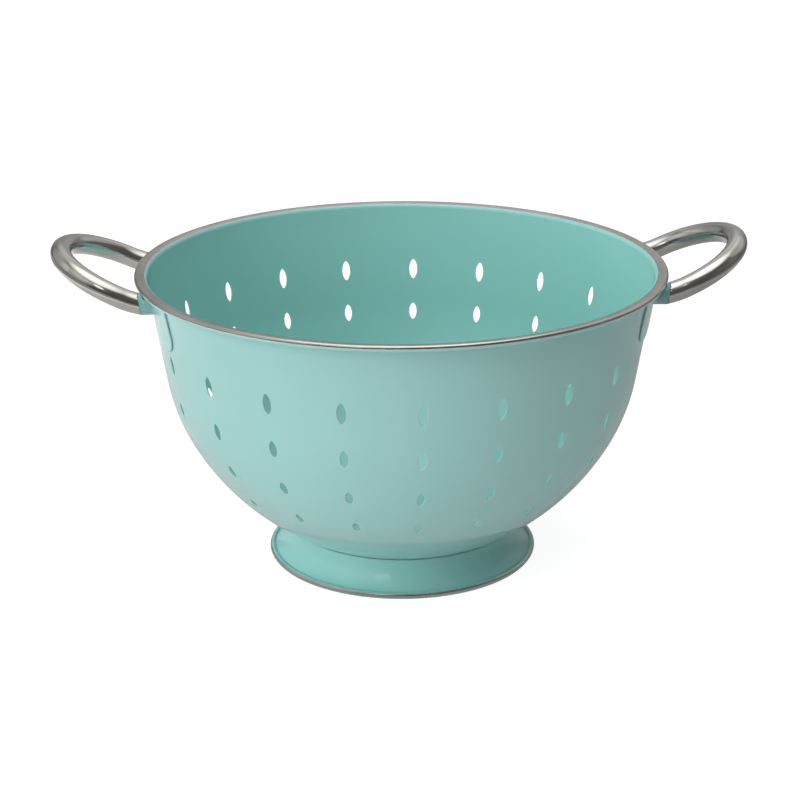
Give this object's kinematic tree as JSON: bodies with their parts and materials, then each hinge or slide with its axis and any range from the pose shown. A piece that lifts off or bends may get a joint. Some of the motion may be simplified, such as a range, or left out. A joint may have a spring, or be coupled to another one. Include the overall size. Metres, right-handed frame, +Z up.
{
  "type": "colander",
  "caption": "Deep footed kitchen colander: mint enamelled sheet-metal bowl with rows of pointed drain slots, a rolled bare-metal rim and round-rod loop handles on both sides.",
  "frame": {"origin": "middle of the foot's underside, on the table", "axes": "+Z up along the bowl's axis, X through the two handles"},
  "size_m": [0.3394, 0.26, 0.1643],
  "materials": {
    "enamel": "glossy mint-green coating",
    "steel": "polished and lightly brushed bare steel"
  },
  "bodies": {
    "root": {"bowl": "enamel", "foot_ring": "enamel", "bracket_right_back": "enamel", "bracket_right_front": "enamel", "bracket_left_back": "enamel", "bracket_left_front": "enamel", "handle_rod_right": "steel", "handle_rod_left": "steel"}
  },
  "joints": []
}
